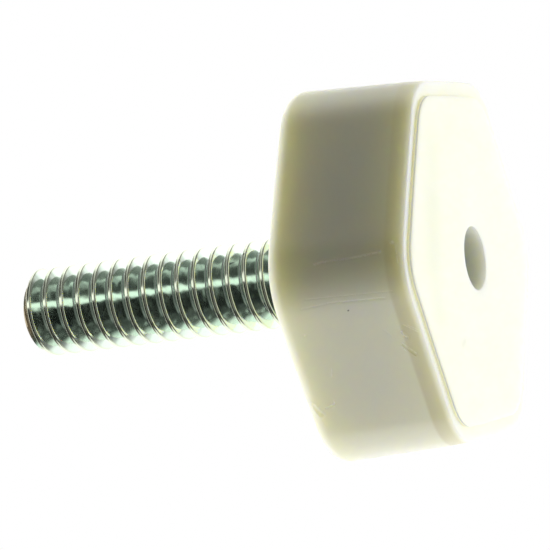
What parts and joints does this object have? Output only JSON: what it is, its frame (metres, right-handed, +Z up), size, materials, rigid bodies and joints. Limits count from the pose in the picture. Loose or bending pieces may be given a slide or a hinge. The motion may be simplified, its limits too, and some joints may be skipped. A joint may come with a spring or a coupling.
{
  "type": "adjustable fridge foot",
  "caption": "Hexagonal moulded plastic levelling foot for a fridge, moulded round the head of a threaded steel screw.",
  "frame": {"origin": "centre of the sole, on the floor", "axes": "+Z up along the screw, away from the sole; two flats of the foot face +X and -X, two corners face +Y and -Y"},
  "size_m": [0.025, 0.0272, 0.0327],
  "materials": {
    "foot_plastic": "moulded, ivory, lightly scuffed",
    "zinc_steel": "rolled thread, bright zinc plate"
  },
  "bodies": {
    "root": {"hex_foot": "foot_plastic", "levelling_screw": "zinc_steel"}
  },
  "joints": []
}
